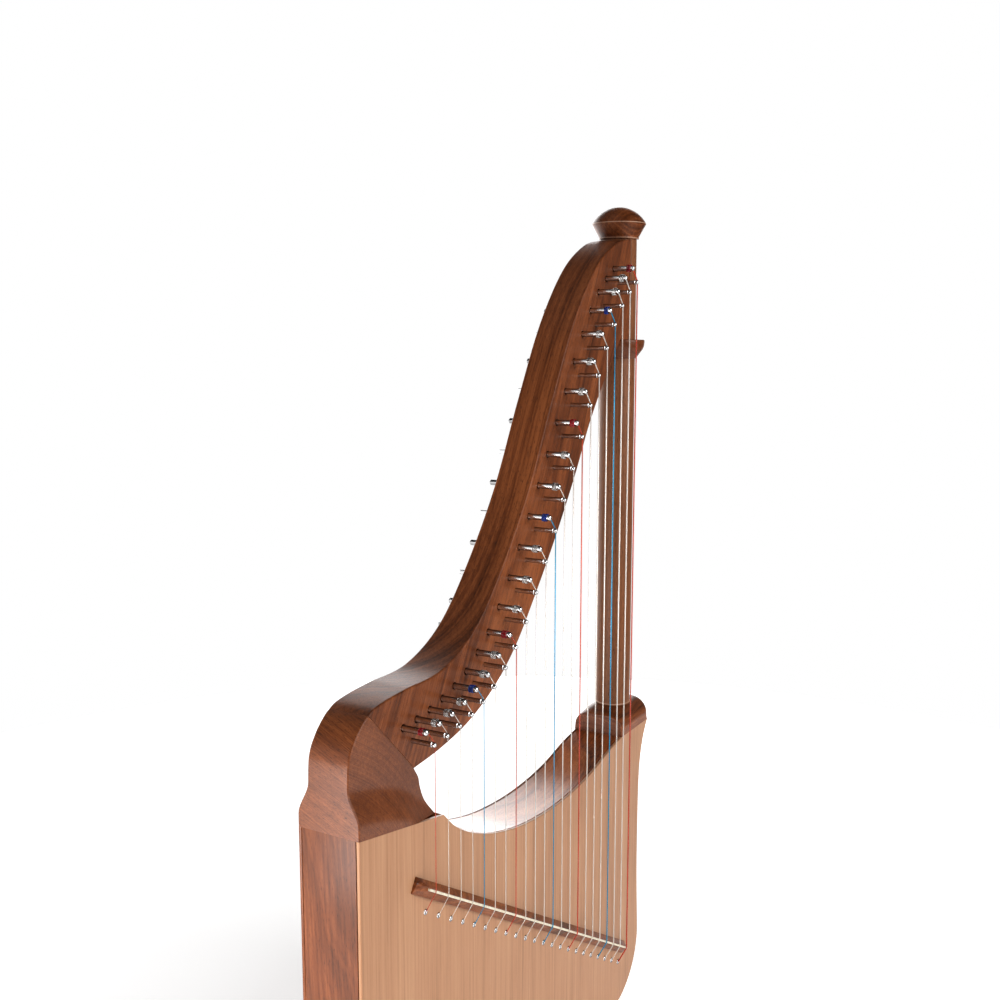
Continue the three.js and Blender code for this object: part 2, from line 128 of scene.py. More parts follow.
NECK_JOINT = [(-51, 33), (3, -22)]
NECK_TOP = [NECK_JOINT[0], (-44, 35.9), (-28, 38.2), (-5, 39.6), (42, 41.8), (88, 62), (130, 103),
            (175, 162), (215, 233), (256, 300), (300, 349), (343, 374), (378, 381.5)]
NECK_UNDERSIDE = [(357, COLLAR_TOP), (325, 251), (292, 211), (262, 165), (225, 115), (190, 73),
                  (155, 35), (120, 9), (80, -9), (40, -18), NECK_JOINT[1]]
PIN_LINE = [(0, 0), (35, 4), (70, 13.4), (98, 28), (137, 62), (202, 151), (268, 254), (300, 298),
            (325, 323), (350, 339)]
SHOULDER_OUTSIDE = [(BOX_LEFT, -17), (-74, 6), (-67, 19.5), (-57, 29.4), NECK_JOINT[0]]
SHOULDER_INSIDE = [NECK_JOINT[1], (8.5, -30), (10.5, -38), (16, -50), (28, -64.5)]
BOX_SEAM = [(BOX_LEFT, -45), (28, -64.5)]
BOX_STEP = [(-77, -11), (-38, -21), (-8, -33), (18, -51)]
BOX_TOP = [BOX_SEAM[1], (46, -81), (72, -96), (106, -109), (150, -119.5), (200, -124.5),
           (245, -124), (285, -119.5), (325, -110.5), (FOOT_LEFT, BOX_TOP_AT_COLUMN)]
BOX_SIDE = [(BOX_RIGHT, BOX_TOP_AT_COLUMN), (408, -124), (400.5, -150), (398, -190), (398, -260),
            (402, BOX_BOTTOM + CORNER)]


def catmull_rom(t, before, start, end, after):
    leave = (end - before) / 2
    arrive = (after - start) / 2
    return ((2 * start - 2 * end + leave + arrive) * t ** 3
            + (3 * end - 3 * start - 2 * leave - arrive) * t ** 2 + leave * t + start)


def spline(points, spacing=2.5):
    """Points every spacing or less along the smooth curve through points."""
    points = [Vector(point) for point in points]
    last = len(points) - 1
    result = []
    for index in range(last):
        around = [points[max(index - 1, 0)], points[index], points[index + 1],
                  points[min(index + 2, last)]]
        count = max(2, math.ceil((around[2] - around[1]).length / spacing))
        result += [catmull_rom(step / count, *around) for step in range(count)]
    return result + [points[-1]]


def line(start, end, spacing=4):
    start, end = Vector(start), Vector(end)
    count = max(1, math.ceil((end - start).length / spacing))
    return [start.lerp(end, step / count) for step in range(count + 1)]


def arc(centre, radius, start, end, step=6):
    """Points along an arc between two angles in degrees."""
    count = max(2, math.ceil(abs(end - start) / step))
    angles = [math.radians(start + (end - start) * index / count) for index in range(count + 1)]
    return [Vector(centre) + radius * Vector((math.cos(a), math.sin(a))) for a in angles]


def circle(centre, radius, sides):
    return arc(centre, radius, 0, -360, 360 / sides)[:-1]


def beside(points, distance):
    """The same line of points, moved to the right of its direction."""
    result = []
    for index, point in enumerate(points):
        ahead = points[min(index + 1, len(points) - 1)] - points[max(index - 1, 0)]
        ahead.normalize()
        result.append(point + Vector((ahead.y, -ahead.x)) * distance)
    return result


def softened(points, radius, steps=5):
    """An open line of points whose corners between its ends are rounded by a radius."""
    points = [Vector(point) for point in points]
    result = [points[0]]
    for before, corner, after in zip(points, points[1:], points[2:]):
        start = corner + (before - corner).normalized() * min(radius, (before - corner).length / 2)
        end = corner + (after - corner).normalized() * min(radius, (after - corner).length / 2)
        for step in range(steps + 1):
            t = step / steps
            result.append(start.lerp(corner, t).lerp(corner.lerp(end, t), t))
    return result + [points[-1]]


# ---- where the strings and pins are ----------------------

def string_x(index):
    narrowing = (TREBLE_SPACING - BASS_SPACING) / (2 * (STRINGS - 1))
    return TREBLE_SPACING * index - narrowing * index ** 2


PIN_CURVE = spline(PIN_LINE, 0.5)


def bridge_pin_at(index):
    x = string_x(index)
    for start, end in zip(PIN_CURVE, PIN_CURVE[1:]):
        if end.x >= x:
            return start.lerp(end, (x - start.x) / (end.x - start.x))
    return PIN_CURVE[-1]


def tuning_pin_at(index):
    return bridge_pin_at(index) + Vector(PIN_OFFSET)


def from_treble(index, treble, bass):
    """The value for a string, when it goes evenly from the treble's to the bass's."""
    return treble + (bass - treble) * (index / (STRINGS - 1))


def string_radius(index):
    return from_treble(index, STRING_RADIUS_TREBLE, STRING_RADIUS_BASS)


def groove_reach(index):
    """From the axis of a bridge pin to the middle of the string in its groove."""
    return GROOVE_RADIUS + string_radius(index) + 0.1


BRIDGE_AXIS = (BRIDGE_BASS - BRIDGE_TREBLE).normalized()
BRIDGE_ACROSS = Vector((-BRIDGE_AXIS.y, BRIDGE_AXIS.x))
BRIDGE_LENGTH = (BRIDGE_BASS - BRIDGE_TREBLE).length


def beside_bridge(along, across):
    return BRIDGE_TREBLE + BRIDGE_AXIS * along + BRIDGE_ACROSS * across


def bridge_height_at(x):
    return BRIDGE_TREBLE.y + (x - BRIDGE_TREBLE.x) * BRIDGE_AXIS.y / BRIDGE_AXIS.x


# ---- mesh helpers ----------------------------------------

def new_object(bm, name, *materials):
    """An object of the scene whose mesh is the bmesh, which is used up."""
    mesh = bpy.data.meshes.new(name)
    bm.to_mesh(mesh)
    bm.free()
    for material in materials:
        mesh.materials.append(material)
    made = bpy.data.objects.new(name, mesh)
    bpy.context.scene.collection.objects.link(made)
    return made


def finished(bm, name, material, body="root", nodes=(), sharp=40):
    """Makes the piece from a bmesh, with flat faces kept flat beside their rounded edges."""
    bmesh.ops.recalc_face_normals(bm, faces=bm.faces)
    piece = new_object(bm, name, material)
    piece.data.shade_smooth()
    piece.data.set_sharp_from_angle(angle=math.radians(sharp))
    weighted = piece.modifiers.new("flat_faces", "WEIGHTED_NORMAL")
    weighted.keep_sharp = True
    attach(piece, body)
    if nodes:
        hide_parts(*nodes)
    return piece


def skin(bm, rings):
    """Joins each ring of vertices to the next with four-sided faces."""
    for ring, following in zip(rings, rings[1:]):
        for index in range(len(ring)):
            after = (index + 1) % len(ring)
            bm.faces.new((ring[index], ring[after], following[after], following[index]))


def outline_of(*sections):
    """A closed outline: its points, and the round-over of the edge after each point."""
    points = []
    rounds = []
    for section, rounding in sections:
        points += section[:-1]
        rounds += [rounding] * (len(section) - 1)
    area = sum(a.cross(b) for a, b in zip(points, points[1:] + points[:1]))
    if area < 0:
        points = points[::-1]
        rounds = rounds[-2::-1] + rounds[-1:]
    return points, rounds


def inset(points, rounds, share):
    """The outline moved into the wood by a share of each edge's own round-over."""
    result = []
    for index, point in enumerate(points):
        before = (point - points[index - 1]).normalized()
        after = (points[(index + 1) % len(points)] - point).normalized()
        first = Vector((before.y, -before.x))
        second = Vector((after.y, -after.x))
        near, far = rounds[index - 1] * share, rounds[index] * share
        turn = first.cross(second)
        if abs(turn) < 0.3:
            result.append(point - (first + second).normalized() * (near + far) / 2)
        else:
            result.append(point + Vector((
                (far * first.y - near * second.y) / turn,
                (near * second.x - far * first.x) / turn,
            )))
    return result


ROUND_STEPS = 5
TAPERED = 0.35


def board(bm, outline, front, back, holes=(), pitch=None):
    """A board with rounded edges. front and back are y, or functions of x and z that give y;
    a pitch adds points between the edges, so that the two faces can curve."""
    heights = [face if callable(face) else (lambda x, z, y=face: y) for face in (front, back)]
    inner = {0: [], 1: []}
    for points, rounds in [outline, *holes]:
        reach = [max(rounds[index - 1], rounds[index]) for index in range(len(points))]
        rings = []
        for side, outward in ((0, 1), (1, -1)):
            side_rings = []
            for step in range(ROUND_STEPS + 1):
                angle = math.pi / 2 * step / ROUND_STEPS
                moved = inset(points, rounds, 1 - math.cos(angle))
                side_rings.append([
                    bm.verts.new(place(at.x, heights[side](at.x, at.y)
                                       + outward * near * (1 - math.sin(angle)), at.y))
                    for at, near in zip(moved, reach)
                ])
            inner[side].append((moved, side_rings[-1]))
            rings.append(side_rings)
        skin(bm, rings[0][::-1] + rings[1])
    for side in (0, 1):
        fill(bm, inner[side], heights[side], pitch)


def fill(bm, loops, height, pitch):
    """Fills the face between the loops, each of them (points, vertices)."""
    if pitch is None:
        vertices = [vertex for _, ring in loops for vertex in ring]
        triangles = tessellate_polygon([[point.to_3d() for point in points] for points, _ in loops])
        for triangle in triangles:
            bm.faces.new([vertices[index] for index in triangle])
        return
    points, vertices = loops[0][0], list(loops[0][1])
    count = len(points)
    low = Vector([min(values) for values in zip(*points)])
    high = Vector([max(values) for values in zip(*points)])
    triangles = tessellate_polygon([[point.to_3d() for point in points]])
    inside = []
    for column in range(int((high.x - low.x) / pitch)):
        for row in range(int((high.y - low.y) / pitch)):
            spot = low + Vector((column + 0.5 + 0.5 * (row % 2), row + 0.5)) * pitch
            clear = min((spot - point).length for point in points) > 0.6 * pitch
            if clear and any(intersect_point_tri_2d(spot, *[points[i] for i in triangle])
                             for triangle in triangles):
                inside.append(spot)
    edges = [(index, (index + 1) % count) for index in range(count)]
    placed, _, faces, sources, _, _ = delaunay_2d_cdt(points + inside, edges, [], 1, 1e-6)
    made = []
    for spot, source in zip(placed, sources):
        if source and source[0] < count:
            made.append(vertices[source[0]])
        else:
            made.append(bm.verts.new(place(spot.x, height(spot.x, spot.y), spot.y)))
    for face in faces:
        bm.faces.new([made[index] for index in face])


def turned(bm, profile, sides, locate):
    """A round piece from its [radius, along] profile. locate puts (across, up, along) in place.
    A radius of zero closes an end."""
    made = []
    for radius, along in profile:
        if radius < 1e-6:
            made.append([bm.verts.new(locate(0, 0, along))] * sides)
            continue
        angles = [2 * math.pi * index / sides for index in range(sides)]
        made.append([bm.verts.new(locate(radius * math.cos(a), radius * math.sin(a), along))
                     for a in angles])
    for ring, following in zip(made, made[1:]):
        for index in range(sides):
            after = (index + 1) % sides
            corners = [ring[index], ring[after], following[after], following[index]]
            bm.faces.new(tuple(dict.fromkeys(corners)))


def about_column(across, up, along):
    return place(COLUMN_X + across, COLUMN_Y + up, along)


def about_pin(pin):
    """Puts a profile on a pin through the neck, whose along is y."""
    return lambda across, up, along: place(pin.x + across, along, pin.y + up)


def tube(bm, path, radius, sides=10):
    """A closed round tube along a path of points of the drawing frame."""
    directions = []
    for index in range(len(path)):
        ahead = path[min(index + 1, len(path) - 1)] - path[max(index - 1, 0)]
        directions.append(ahead.normalized())
    across = directions[0].orthogonal().normalized()
    rings = []
    for point, direction in zip(path, directions):
        across = (across - direction * across.dot(direction)).normalized()
        other = direction.cross(across)
        ring = []
        for index in range(sides):
            angle = 2 * math.pi * index / sides
            spot = point + (across * math.cos(angle) + other * math.sin(angle)) * radius
            ring.append(bm.verts.new(place(*spot)))
        rings.append(ring)
    skin(bm, rings)
    bm.faces.new(rings[0])
    bm.faces.new(rings[-1])


def bar(bm, section, start, end, taper=0):
    """A straight bar between two [x, z] points. Its section is [across, y], and over the length
    of a taper its ends sink to TAPERED of its height."""
    start, end = Vector(start), Vector(end)
    axis = (end - start).normalized()
    across = Vector((-axis.y, axis.x))
    base = section[0][1]
    length = (end - start).length
    stations = [(0, 1), (length, 1)]
    if taper:
        stations = [(0, TAPERED), (taper, 1), (length - taper, 1), (length, TAPERED)]
    rings = []
    for along, height in stations:
        ring = []
        for side, y in section:
            spot = start + axis * along + across * side
            ring.append(bm.verts.new(place(spot.x, base + (y - base) * height, spot.y)))
        rings.append(ring)
    skin(bm, rings)
    bm.faces.new(rings[0])
    bm.faces.new(rings[-1])


# ---- materials -------------------------------------------

class Nodes:
    """The nodes of a new material or world, with short ways to add and join them."""

    def __init__(self, owner):
        owner.use_nodes = True
        self.owner = owner
        self.tree = owner.node_tree
        self.shader = self.tree.nodes.get("Principled BSDF")

    def add(self, kind, **settings):
        node = self.tree.nodes.new(kind)
        for key, value in settings.items():
            setattr(node, key, value)
        return node

    def link(self, source, target):
        self.tree.links.new(source, target)

    def feed(self, socket, given):
        """Gives a socket its number or colour, or links it to another node's output."""
        if isinstance(given, (int, float)):
            socket.default_value = given
        elif isinstance(given, tuple):
            socket.default_value = (*given, 1)
        else:
            self.link(given, socket)

    def value(self, operation, first, second=0.0, third=0.0, clamp=False):
        node = self.add("ShaderNodeMath", operation=operation, use_clamp=clamp)
        for socket, given in zip(node.inputs, (first, second, third)):
            self.feed(socket, given)
        return node.outputs[0]

    def scaled(self, vector, scale):
        node = self.add("ShaderNodeVectorMath", operation="MULTIPLY")
        self.link(vector, node.inputs[0])
        node.inputs[1].default_value = scale
        return node.outputs[0]

    def fade(self, value, low, high, first, last):
        """Goes smoothly from first to last while the value goes from low to high."""
        node = self.add("ShaderNodeMapRange", interpolation_type="SMOOTHSTEP")
        self.link(value, node.inputs["Value"])
        for key, number in zip(("From Min", "From Max", "To Min", "To Max"),
                               (low, high, first, last)):
            node.inputs[key].default_value = number
        return node.outputs["Result"]

    def length(self, vector):
        node = self.add("ShaderNodeVectorMath", operation="LENGTH")
        self.link(vector, node.inputs[0])
        return node.outputs["Value"]

    def split(self, vector):
        """The x, y and z outputs of a vector."""
        node = self.add("ShaderNodeSeparateXYZ")
        self.link(vector, node.inputs[0])
        return node.outputs

    def noise(self, vector, scale, detail=3.0, roughness=0.5):
        node = self.add("ShaderNodeTexNoise")
        self.link(vector, node.inputs["Vector"])
        node.inputs["Scale"].default_value = scale
        node.inputs["Detail"].default_value = detail
        node.inputs["Roughness"].default_value = roughness
        return node.outputs["Fac"]

    def bands(self, distance, scale, detail, roughness=0.5):
        """Noise that depends on one distance, for growth rings."""
        node = self.add("ShaderNodeTexNoise", noise_dimensions="1D")
        self.link(distance, node.inputs["W"])
        node.inputs["Scale"].default_value = scale
        node.inputs["Detail"].default_value = detail
        node.inputs["Roughness"].default_value = roughness
        return node.outputs["Fac"]

    def ramp(self, value, *stops):
        node = self.add("ShaderNodeValToRGB")
        self.link(value, node.inputs["Fac"])
        while len(node.color_ramp.elements) < len(stops):
            node.color_ramp.elements.new(0.5)
        for element, (position, colour) in zip(node.color_ramp.elements, stops):
            element.position = position
            element.color = (*colour, 1)
        return node.outputs["Color"]

    def mix(self, factor, first, second, blend="MIX"):
        node = self.add("ShaderNodeMix", data_type="RGBA", blend_type=blend)
        for index, given in ((0, factor), (6, first), (7, second)):
            self.feed(node.inputs[index], given)
        return node.outputs[2]

    def bump(self, height, distance, strength):
        node = self.add("ShaderNodeBump")
        node.inputs["Strength"].default_value = strength
        node.inputs["Distance"].default_value = distance
        self.link(height, node.inputs["Height"])
        self.link(node.outputs["Normal"], self.shader.inputs["Normal"])

    def set(self, **values):
        for key, value in values.items():
            self.feed(self.shader.inputs[key.replace("_", " ")], value)


def shade(colour, amount):
    return tuple(channel * amount for channel in colour)


def wood(name, grain, heart, shades, rings=260, figure=1.0, pores=1.0, coat=0.5,
         coat_roughness=0.2, rim_highlights=()):
    """Lacquered wood. grain is the direction of the fibres, heart a point that the growth rings
    run round, and rings how many bands there are in a metre. At each height given for the rims
    a thin pale ring of painted highlight stands in for the light that a rounded rim catches."""
    dark, middle, light = shades
    nodes = Nodes(bpy.data.materials.new(name))
    where = nodes.add("ShaderNodeTexCoord").outputs["Object"]
    turn = nodes.add("ShaderNodeMapping")
    spin = Vector(grain).normalized().rotation_difference(Vector((1, 0, 0)))
    turn.inputs["Rotation"].default_value = spin.to_euler()
    turn.inputs["Location"].default_value = -(spin @ Vector(heart))
    nodes.link(where, turn.inputs["Vector"])
    along = turn.outputs["Vector"]

    # growth rings round the heart, bent by a slow noise and a quick one
    sway = nodes.noise(nodes.scaled(along, (3, 14, 14)), 1.0, 2.0)
    crooked = nodes.noise(nodes.scaled(along, (14, 90, 90)), 1.0, 2.0)
    reach = nodes.length(nodes.scaled(along, (0, 1, 1)))
    swayed = nodes.value("MULTIPLY_ADD", sway, 0.034 * figure, reach)
    radius = nodes.value("MULTIPLY_ADD", crooked, 0.0045 * figure, swayed)
    narrow = nodes.bands(radius, rings, 4.0, 0.62)
    broad = nodes.bands(radius, rings / 5, 1.0)

    # the tone: rings, fibres and patches added up
    fibres = nodes.noise(nodes.scaled(along, (11, 520, 520)), 1.0, 4.0, 0.62)
    patches = nodes.noise(nodes.scaled(along, (7, 26, 26)), 1.0, 2.0)
    tone = nodes.value("MULTIPLY_ADD", narrow, 0.55, -0.275)
    tone = nodes.value("MULTIPLY_ADD", broad, 1.15 * figure, tone)
    tone = nodes.value("MULTIPLY_ADD", fibres, 0.62, tone)
    tone = nodes.value("MULTIPLY_ADD", patches, 0.45, tone)
    tone = nodes.value("SUBTRACT", tone, 0.61 + 0.575 * (figure - 1))
    colour = nodes.ramp(tone, (0.18, dark), (0.47, middle), (0.78, light))

    # fine dark pores, which are also cut a little into the surface
    pore_noise = nodes.noise(nodes.scaled(along, (190, 2600, 2600)), 1.0, 1.0)
    pore = nodes.ramp(pore_noise, (0.60, (0, 0, 0)), (0.69, (1, 1, 1)))
    pore_share = nodes.value("MULTIPLY", pore, 0.55 * pores)
    colour = nodes.mix(pore_share, colour, shade(dark, 0.35))
    # painted highlight: a thin pale ring at each given rim height, standing in for the light a
    # rounded rim catches; the patches make it uneven
    for level in rim_highlights:
        away = nodes.value("ABSOLUTE", nodes.value("SUBTRACT", nodes.split(where)["Z"], level))
        ring = nodes.ramp(nodes.value("DIVIDE", away, MM), (0.25, (1, 1, 1)), (0.6, (0, 0, 0)))
        uneven = nodes.value("MULTIPLY_ADD", patches, 1.6, -0.25, True)
        painted_highlight = nodes.value("MULTIPLY", ring, uneven)
        colour = nodes.mix(painted_highlight, colour, PAINTED_RIM_HIGHLIGHT)

    rough = nodes.value("MULTIPLY_ADD", fibres, 0.16, 0.34)
    relief = nodes.value("MULTIPLY_ADD", pore, -0.7 * pores, fibres)
    nodes.bump(relief, 0.00012, 0.45)
    nodes.set(Base_Color=colour, Roughness=nodes.value("MULTIPLY_ADD", pore, 0.12, rough),
              Coat_Weight=coat, Coat_Roughness=coat_roughness, Specular_IOR_Level=0.08)
    return nodes.owner


def chrome():
    """Nickel-plated steel with faint rings and rub marks. Its colour is darkened on its upper and
    lower sides and towards its rims, painted reflections of a dark room."""
    nodes = Nodes(bpy.data.materials.new("nickel_plate"))
    where = nodes.add("ShaderNodeTexCoord").outputs["Object"]
    turning = nodes.noise(nodes.scaled(where, (60, 5200, 60)), 1.0, 2.0)
    clouds = nodes.noise(where, 420.0, 3.0)
    rough = nodes.value("MULTIPLY_ADD", clouds, 0.10, 0.01)
    colour = nodes.ramp(clouds, (0.25, (0.62, 0.62, 0.63)), (0.75, (0.80, 0.80, 0.80)))
    # painted reflections: the colour darkens where the surface faces up or down and where it turns
    # away from view, standing in for a dark room mirrored there
    facing = nodes.split(nodes.add("ShaderNodeNewGeometry").outputs["Normal"])
    steep = nodes.value("ABSOLUTE", facing["Z"])
    painted_dark_reflection = nodes.ramp(steep, (0.6, (1, 1, 1)), (0.95, (0.25, 0.24, 0.24)))
    turned_away = nodes.add("ShaderNodeLayerWeight").outputs["Facing"]
    rim = nodes.ramp(turned_away, (0.26, (1, 1, 1)), (0.66, (0.2, 0.19, 0.19)))
    colour = nodes.mix(1.0, nodes.mix(1.0, colour, painted_dark_reflection, "MULTIPLY"), rim, "MULTIPLY")
    nodes.bump(turning, 0.00006, 0.8)
    nodes.set(Base_Color=colour, Roughness=nodes.value("MULTIPLY_ADD", turning, 0.03, rough),
              Metallic=1.0)
    return nodes.owner


def nylon(name, light, deep, clear, rough):
    """Drawn nylon, brighter and duller by turns along its length."""
    nodes = Nodes(bpy.data.materials.new(name))
    where = nodes.add("ShaderNodeTexCoord").outputs["Object"]
    drawn = nodes.noise(nodes.scaled(where, (900, 900, 70)), 1.0, 2.0)
    nodes.bump(drawn, 0.00002, 0.3)
    nodes.set(Base_Color=nodes.ramp(drawn, (0.3, deep), (0.7, light)),
              Roughness=nodes.value("MULTIPLY_ADD", drawn, 0.1, rough),
              Transmission_Weight=clear, IOR=1.5)
    return nodes.owner


def bone():
    nodes = Nodes(bpy.data.materials.new("saddle_bone"))
    where = nodes.add("ShaderNodeTexCoord").outputs["Object"]
    cells = nodes.noise(nodes.scaled(where, (500, 500, 500)), 1.0, 4.0)
    colour = nodes.ramp(cells, (0.3, (0.60, 0.52, 0.38)), (0.7, (0.78, 0.72, 0.58)))
    nodes.bump(cells, 0.00004, 0.4)
    nodes.set(Base_Color=colour, Roughness=nodes.value("MULTIPLY_ADD", cells, 0.2, 0.25))
    return nodes.owner


def studio_floor():
    """A pale floor with a glow. The camera sees more of it the further it is from the middle,
    until it is as white as the world."""
    nodes = Nodes(bpy.data.materials.new("studio_floor"))
    where = nodes.add("ShaderNodeTexCoord").outputs["Object"]
    mottle = nodes.noise(where, 3.0, 2.0)
    colour = nodes.ramp(mottle, (0.2, (0.86, 0.86, 0.86)), (0.8, (0.90, 0.90, 0.90)))
    glow = nodes.ramp(nodes.length(where), (0.3, (0.55, 0.55, 0.55)), (1.0, (1, 1, 1)))
    seen = nodes.add("ShaderNodeLightPath").outputs["Is Camera Ray"]
    nodes.set(Base_Color=colour, Emission_Color=nodes.mix(seen, (0.45, 0.45, 0.45), glow),
              Roughness=0.9, Specular_IOR_Level=0.1, Emission_Strength=0.95)
    return nodes.owner


DARK = (0.030, 0.0088, 0.0030)
MIDDLE = (0.165, 0.046, 0.0135)
LIGHT = (0.320, 0.102, 0.033)
COLUMN_WOOD = (0.198, 0.078, 0.034)
# colour of the painted highlights, thin pale rings standing in for light caught by turned rims
PAINTED_RIM_HIGHLIGHT = (0.62, 0.40, 0.28)
# heights of the painted rim highlights: on the cap above its base, and on the column above the foot
# block
CAP_RIMS = (1.0, 15.2)
COLUMN_FOOT_RIM = 1.4


def walnut(dark=1.0, middle=1.0, light=1.0):
    """The three shades of the walnut, each made darker or lighter."""
    return shade(DARK, dark), shade(MIDDLE, middle), shade(LIGHT, light)


WALNUT_NECK = wood("walnut_neck", (0.46, 0.02, 0.88), place(180, 120, 120), walnut(),
                   rings=300, figure=0.5, pores=1.2, coat=0.35, coat_roughness=0.36)
WALNUT_SHOULDER = wood("walnut_shoulder", (0.2, 0.93, 0.3), place(-150, 0, -140),
                       walnut(1.6, 0.94, 0.84), rings=1100, figure=0.15, pores=1.4, coat=0.55,
                       coat_roughness=0.32)
WALNUT_COLUMN = wood("walnut_column", (0.01, 0, 1), place(COLUMN_X - 30, COLUMN_Y + 20, 0),
                     (shade(COLUMN_WOOD, 0.62), COLUMN_WOOD, shade(COLUMN_WOOD, 1.45)),
                     rings=700, figure=0.3, pores=1.5, coat=0.18, coat_roughness=0.3,
                     rim_highlights=[place(0, 0, FOOT_TOP + COLUMN_FOOT_RIM).z])
WALNUT_CAP = wood("walnut_cap", (0.1, 0.15, 1), place(COLUMN_X + 12, COLUMN_Y + 30, 390),
                  walnut(0.8, 0.85), rings=420, figure=0.4, pores=1.2, coat=0.3,
                  coat_roughness=0.3,
                  rim_highlights=[place(0, 0, COLUMN_TOP + rim).z for rim in CAP_RIMS])
WALNUT_DARK = wood("walnut_dark", (1, 0.1, 0.04), place(380, 30, -160), walnut(1.4, 1.15),
                   rings=300, figure=0.6)
WALNUT_COLLAR = wood("walnut_collar", (0.1, 0.1, 1), place(COLUMN_X, 60, 250),
                     walnut(1.0, 0.75, 0.6), rings=300, figure=0.4, pores=1.2, coat=0.4,
                     coat_roughness=0.25)
WALNUT_RIB = wood("walnut_rib", (1, 0.05, 0.02), place(180, 60, -250), walnut(1.4, 1.8, 1.6),
                  figure=0.6, coat=0.7, coat_roughness=0.12)
WALNUT_SIDE = wood("walnut_side", (0.03, 0.05, 1), place(330, 70, -250), walnut(1.5), figure=0.5)
WALNUT_BACK = wood("walnut_back", (0.02, 0.02, 1), place(150, 260, -250), walnut(1.5),
                   rings=240, figure=0.45)
SPRUCE = wood("spruce_top", (0.005, 0.01, 1), place(-700, -9, -200),
              ((0.28, 0.141, 0.071), (0.42, 0.219, 0.119), (0.495, 0.283, 0.16)),
              rings=420, figure=0.22, pores=0.12, coat=0.3, coat_roughness=0.28)
SPRUCE_BARE = wood("spruce_bare", (1, 0, -0.55), place(100, 400, -500),
                   ((0.33, 0.19, 0.11), (0.52, 0.33, 0.20), (0.62, 0.42, 0.27)),
                   rings=500, figure=0.25, pores=0.15, coat=0.0, coat_roughness=0.5)
CHROME = chrome()
BONE = bone()
NYLON = {
    "string_clear": nylon("clear_nylon", (0.98, 0.95, 0.90), (0.93, 0.88, 0.81), 0.6, 0.2),
    "string_red": nylon("red_nylon", (0.78, 0.10, 0.035), (0.62, 0.05, 0.02), 0.55, 0.15),
    "string_blue": nylon("blue_nylon", (0.02, 0.46, 0.72), (0.012, 0.33, 0.58), 0.55, 0.12),
}
# painted shade on the red and blue coils: their colours are darker copies of their strings' nylon,
# standing in for the shade between the close turns; the clear coil is clearer and glossier instead
WOUND = {
    "string_clear": nylon("clear_nylon_wound", (0.97, 0.96, 0.95), (0.93, 0.92, 0.90), 0.92, 0.03),
    "string_red": nylon("red_nylon_wound_painted_shade", (0.42, 0.012, 0.02), (0.26, 0.006, 0.012), 0.25, 0.12),
    "string_blue": nylon("blue_nylon_wound_painted_shade", (0.012, 0.05, 0.34), (0.006, 0.025, 0.2), 0.25, 0.12),
}


def string_slot(index):
    """Every C string is red and every F string blue, counted down from the top C."""
    return {0: "string_red", 4: "string_blue"}.get(index % 7, "string_clear")


# ---- camera, floor and light -----------------------------

CAMERA_PLACE = Vector((-0.8119, -0.4547, 0.6707))
CAMERA_YAW = math.radians(60.05)
CAMERA_PITCH = math.radians(-7.84)
CAMERA_LENS = 40.5
BEHIND = Vector((math.sin(CAMERA_YAW), math.cos(CAMERA_YAW), 0))
FLOOR_RADIUS = 1.3
BACKDROP = 2.5
CEILING = 0.03
CEILING_FADE = (0.38, 0.60)
ASIDE = 0.1
SHINE_ASIDE = 0.5
ASIDE_FADE = (-0.2, 0.7)
FRONT = 0.04
FRONT_FADE = (-0.05, 0.42)


def make_camera():
    data = bpy.data.cameras.new("camera")
    data.lens = CAMERA_LENS
    camera = bpy.data.objects.new("camera", data)
    ahead = BEHIND * math.cos(CAMERA_PITCH) + Vector((0, 0, math.sin(CAMERA_PITCH)))
    camera.location = CAMERA_PLACE
    camera.rotation_euler = ahead.to_track_quat("-Z", "Y").to_euler()
    bpy.context.scene.collection.objects.link(camera)
    bpy.context.scene.camera = camera


def make_floor():
    """A round white floor. Past its edge the camera sees the equally white world."""
    bm = bmesh.new()
    bmesh.ops.create_circle(bm, cap_ends=True, segments=128, radius=FLOOR_RADIUS)
    floor = new_object(bm, "floor", studio_floor())
    floor.location.z = CAD_BOX[0].z


def make_world():
    """A white studio: bright at the back up to a height, and dim above it and at the front.
    The camera itself sees plain white."""
    nodes = Nodes(bpy.data.worlds.new("studio"))
    bpy.context.scene.world = nodes.owner
    where = nodes.add("ShaderNodeTexCoord").outputs["Generated"]
    path = nodes.add("ShaderNodeLightPath")
    across = nodes.split(where)
    behind = nodes.add("ShaderNodeVectorMath", operation="DOT_PRODUCT")
    nodes.link(where, behind.inputs[0])
    behind.inputs[1].default_value = BEHIND
    upward = nodes.fade(across["Z"], *CEILING_FADE, BACKDROP, BACKDROP * CEILING)
    aside = nodes.fade(behind.outputs["Value"], *ASIDE_FADE, ASIDE, 1.0)
    aside = nodes.value("MULTIPLY_ADD", path.outputs["Is Glossy Ray"], SHINE_ASIDE, aside)
    front = nodes.fade(across["Y"], *FRONT_FADE, FRONT, 1.0)
    strength = nodes.value("MULTIPLY", nodes.value("MULTIPLY", upward, aside), front)
    studio = nodes.tree.nodes["Background"]
    nodes.link(strength, studio.inputs["Strength"])
    plain = nodes.add("ShaderNodeBackground")
    for background in (studio, plain):
        background.inputs["Color"].default_value = (1, 1, 1, 1)
    choose = nodes.add("ShaderNodeMixShader")
    nodes.link(path.outputs["Is Camera Ray"], choose.inputs[0])
    nodes.link(studio.outputs[0], choose.inputs[1])
    nodes.link(plain.outputs[0], choose.inputs[2])
    nodes.link(choose.outputs[0], nodes.tree.nodes["World Output"].inputs["Surface"])


